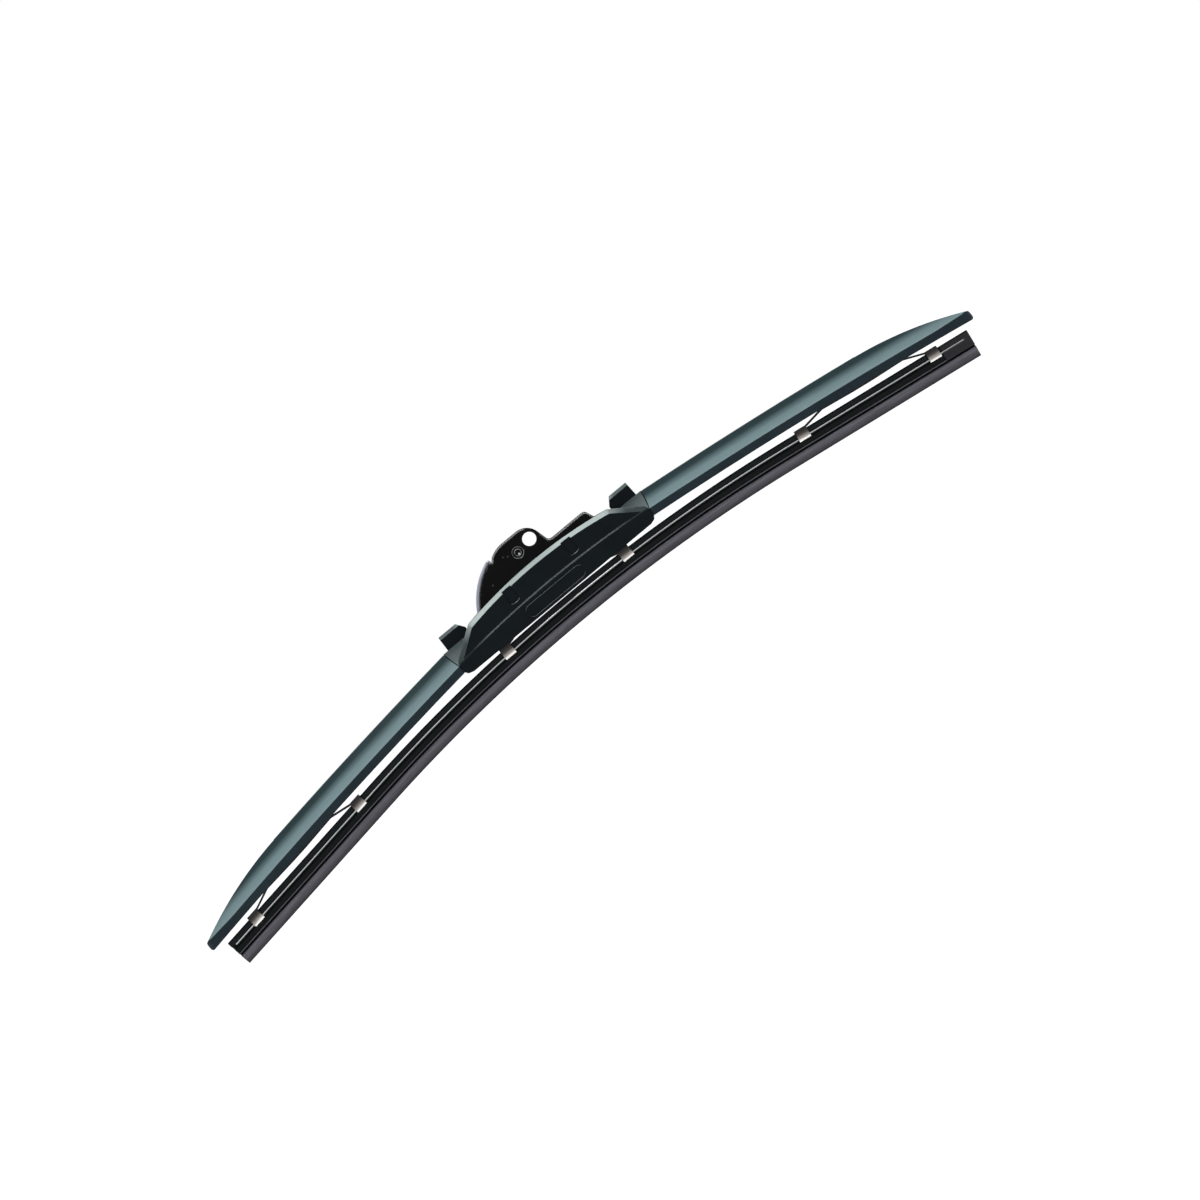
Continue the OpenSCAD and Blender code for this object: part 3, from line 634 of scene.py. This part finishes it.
def add_rubber():
    finish = rubber_finish()
    ends = (HALF_LENGTH - LEFT_SHORT, HALF_LENGTH)
    lay_strip("rubber", "rubber_blade", whole_section(RUBBER_OUTLINE), ends, finish)


def lock_rubber():
    """The moulded end block is paler and duller than the strip, with a light lip under its slot that is
    a painted highlight.
    """
    shader = Shader("lock_rubber", specular=0.12)
    along, down = strip_place(shader)
    cloud = shader.noise(shader.place(), 500.0, 4.0)
    block = shader.mottle(cloud, grey(0.022, GRAPHITE), grey(0.03, GRAPHITE))
    # lip: a painted highlight under the slot
    lip = shader.mottle(cloud, grey(0.16), grey(0.22))
    under_slot = shader.band(down, SLOT_LOW - 0.1, SLOT_LOW, SLOT_LOW + 0.3, SLOT_LOW + 0.45)
    beside_slot = shader.spread(along, SLOT_END, SLOT_END + 0.3, 1.0, 0.0)
    on_lip = shader.math("MULTIPLY", under_slot, beside_slot)
    shader.colour_from(shader.blend_colours(on_lip, block, lip))
    shader.roughness_from(shader.vary(cloud, 0.55, 0.68))
    shader.bump(cloud, 0.03 * MM, 0.4)
    return shader.material


def add_lock():
    """The block at the right end: slotted for the rails, with a closed end."""
    finish = lock_rubber()
    top = [(LOCK_TOP, LOCK_OUT - LOCK_CORNER), (LOCK_TOP + LOCK_CORNER, LOCK_OUT)]
    slot = [
        (SLOT_TOP, LOCK_OUT),
        (SLOT_TOP, SLOT_INNER),
        (SLOT_LOW, SLOT_INNER),
        (SLOT_LOW, LOCK_OUT - SLOT_CORNER),
        (SLOT_LOW + SLOT_CORNER, LOCK_OUT),
        (SLOT_LOW + SLOT_LIP, LOCK_OUT),
    ]
    foot = [(LOCK_LOW - LOCK_CORNER, LOCK_OUT), (LOCK_LOW, LOCK_OUT - LOCK_CORNER)]
    for name, half, start, end in (
        ("lock_slotted", top + slot + foot, HALF_LENGTH - LOCK_LENGTH, SLOT_END),
        ("lock_end", top + foot, SLOT_END, HALF_LENGTH),
    ):
        piece = swept(name, whole_section(half), start, end, finish, True, True)
        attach(piece, "right_yoke")
        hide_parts("rubber_blade")


def rail_steel():
    """Drawn spring steel: bright along the upper part of the edge, and a painted shade makes it duller
    below.
    """
    shader = Shader("rail_steel", roughness=0.3, metallic=1.0)
    down = strip_place(shader)[1]
    streaks = shader.noise(shader.place((0.03, 1.0, 1.0)), 400.0)
    bright = shader.mottle(streaks, (0.6, 0.62, 0.6), (0.74, 0.76, 0.73))
    # The dull colour is painted shade on the lower part of the edge
    painted_shade_steel = shader.mottle(streaks, (0.13, 0.14, 0.14), (0.18, 0.19, 0.19))
    lower = shader.spread(down, RAIL_TOP + 0.27, RAIL_TOP + 0.37, 0.0, 1.0)
    shader.colour_from(shader.blend_colours(lower, bright, painted_shade_steel))
    shader.bump(streaks, 0.01 * MM, 0.3)
    return shader.material


def add_rails():
    finish = rail_steel()
    ends = (HALF_LENGTH - LEFT_SHORT - RAIL_SHORT[0], HALF_LENGTH - RAIL_SHORT[1])
    for name, side in (("near_rail", 1), ("far_rail", -1)):
        lay_strip(name, name, rail_section(side), ends, finish)


# The solids of the model

def dress(names, finish):
    """Gives a finish to the solids of these names."""
    for name in names:
        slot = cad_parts[name].material_slots[0]
        slot.link = "OBJECT"
        slot.material = finish


def dress_yokes():
    """Each yoke is finished by the height above the strip that it holds."""
    claw_drop = BEND_RADIUS - math.sqrt(BEND_RADIUS ** 2 - CLAW_REACH ** 2)
    middle = Vector((MIDDLE_X, 0.0, RUBBER_TOP - claw_drop)) * MM
    dress(["centre_yoke"], yoke_steel("centre_yoke_steel", middle, Vector((0.0, 0.0, 1.0))))
    for side, sign in (("left", -1), ("right", 1)):
        base = strip_point(sign * (BEND_LENGTH + SIDE_YOKE), 0.0, 0.0)
        up = Vector((sign * math.sin(BEND_ANGLE), 0.0, math.cos(BEND_ANGLE)))
        dress([f"{side}_yoke"], yoke_steel(f"{side}_yoke_steel", base, up))


def dress_solids():
    joints = ("left_hinge", "right_hinge", "left_yoke", "centre_yoke", "right_yoke")
    dress(["bracket"],
          gloss_paint("gloss_black", level=0.003, glint=0.9, radius=1.5 * MM, nose=True))
    dress(["cross_pin"],
          gloss_paint("cross_pin_paint", level=0.005, glint=0.7, radius=0.4 * MM, ring=True))
    dress(["centre_cover"],
          moulded_plastic("centre_plastic", wall=0.008, top=0.5, turn=(0.3, 0.68), radius=0.3 * MM,
                          tint=SEA_GREY, flat_level=0.05))
    for side, sign in (("left", -1), ("right", 1)):
        arc_centre = (MIDDLE_X + sign * WING_CENTRE_X, WING_CENTRE_Z)
        dress([f"{side}_cover"],
              moulded_plastic(f"{side}_wing_plastic", wall=0.03, top=0.155, turn=(0.2, 0.4),
                              radius=0.15 * MM, tint=TEAL, arc_centre=arc_centre))
    dress(["left_lever", "right_lever"],
          gloss_paint("lever_paint", level=0.005, glint=0.05, radius=0.2 * MM))
    dress([f"{joint}_pin" for joint in joints], rivet_steel(level=0.6, roughness=0.3))
    dress([f"{joint}_liner" for joint in joints], liner_plastic())


# Studio

# In metres
FLOOR_HEIGHT = -0.2
FLOOR_REACH = 8.0

# The floor's own light, which lifts it to white without lighting the blade
FLOOR_GLOW = 0.78


def seen_directly(nodes, links):
    """1 for a ray that shows a surface as it is: from the camera, in a gloss or through a glass."""
    ray = nodes.new("ShaderNodeLightPath")
    direct = ray.outputs["Is Camera Ray"]
    for kind in ("Is Glossy Ray", "Is Transmission Ray"):
        either = nodes.new("ShaderNodeMath")
        either.operation = "MAXIMUM"
        links.new(direct, either.inputs[0])
        links.new(ray.outputs[kind], either.inputs[1])
        direct = either.outputs["Value"]
    return direct


def add_floor():
    """A plain pale floor well below the blade, bright enough to read as white behind it."""
    corners = [(x * FLOOR_REACH, y * FLOOR_REACH, FLOOR_HEIGHT)
               for x, y in ((-1, -1), (1, -1), (1, 1), (-1, 1))]
    mesh = bpy.data.meshes.new("floor")
    mesh.from_pydata(corners, [], [(0, 1, 2, 3)])
    floor = bpy.data.objects.new("floor", mesh)
    bpy.context.collection.objects.link(floor)
    shader = Shader("floor_white", roughness=0.9, specular=0.0)
    cloud = shader.noise(shader.place(), 3.0)
    shader.colour_from(shader.mottle(cloud, grey(0.8), grey(0.82)))
    glow = shader.node("ShaderNodeEmission")
    lit = seen_directly(shader.nodes, shader.links)
    shader.join(shader.math("MULTIPLY", lit, FLOOR_GLOW), glow.inputs["Strength"])
    both = shader.node("ShaderNodeAddShader")
    shader.join(shader.bsdf.outputs["BSDF"], both.inputs[0])
    shader.join(glow.outputs["Emission"], both.inputs[1])
    shader.join(both.outputs["Shader"], shader.nodes["Material Output"].inputs["Surface"])
    mesh.materials.append(shader.material)


def add_world():
    """White where it is seen, and a soft cool light on everything else."""
    world = bpy.data.worlds.new("studio")
    bpy.context.scene.world = world
    world.use_nodes = True
    nodes = world.node_tree.nodes
    links = world.node_tree.links
    nodes.clear()
    soft = nodes.new("ShaderNodeBackground")
    soft.inputs["Color"].default_value = (0.95, 0.98, 1.0, 1.0)
    soft.inputs["Strength"].default_value = 0.4
    white = nodes.new("ShaderNodeBackground")
    white.inputs["Strength"].default_value = 1.0
    white.inputs["Color"].default_value = (1.0, 1.0, 1.0, 1.0)
    mix = nodes.new("ShaderNodeMixShader")
    links.new(seen_directly(nodes, links), mix.inputs["Fac"])
    links.new(soft.outputs["Background"], mix.inputs[1])
    links.new(white.outputs["Background"], mix.inputs[2])
    output = nodes.new("ShaderNodeOutputWorld")
    links.new(mix.outputs["Shader"], output.inputs["Surface"])


def add_lamp(name, place, size, power):
    """A square soft box that faces the middle of the blade."""
    data = bpy.data.lights.new(name, "AREA")
    data.shape = "SQUARE"
    data.size = size
    data.energy = power
    lamp = bpy.data.objects.new(name, data)
    bpy.context.collection.objects.link(lamp)
    lamp.location = place
    lamp.rotation_mode = "QUATERNION"
    lamp.rotation_quaternion = (LOOK_AT - lamp.location).to_track_quat("-Z", "Y")


def add_lights():
    add_lamp("overhead", place=Vector((0.0, 0.25, 1.2)), size=1.5, power=30.0)
    add_lamp("front_fill", place=Vector((-0.9, -1.6, 0.7)), size=0.8, power=2.0)
    add_lamp("back_fill", place=Vector((1.2, 1.5, 1.1)), size=0.8, power=5.0)


add_camera()
add_floor()
add_world()
add_lights()
dress_solids()
dress_yokes()
add_rubber()
add_rails()
add_lock()

bpy.context.scene.view_settings.view_transform = "Standard"
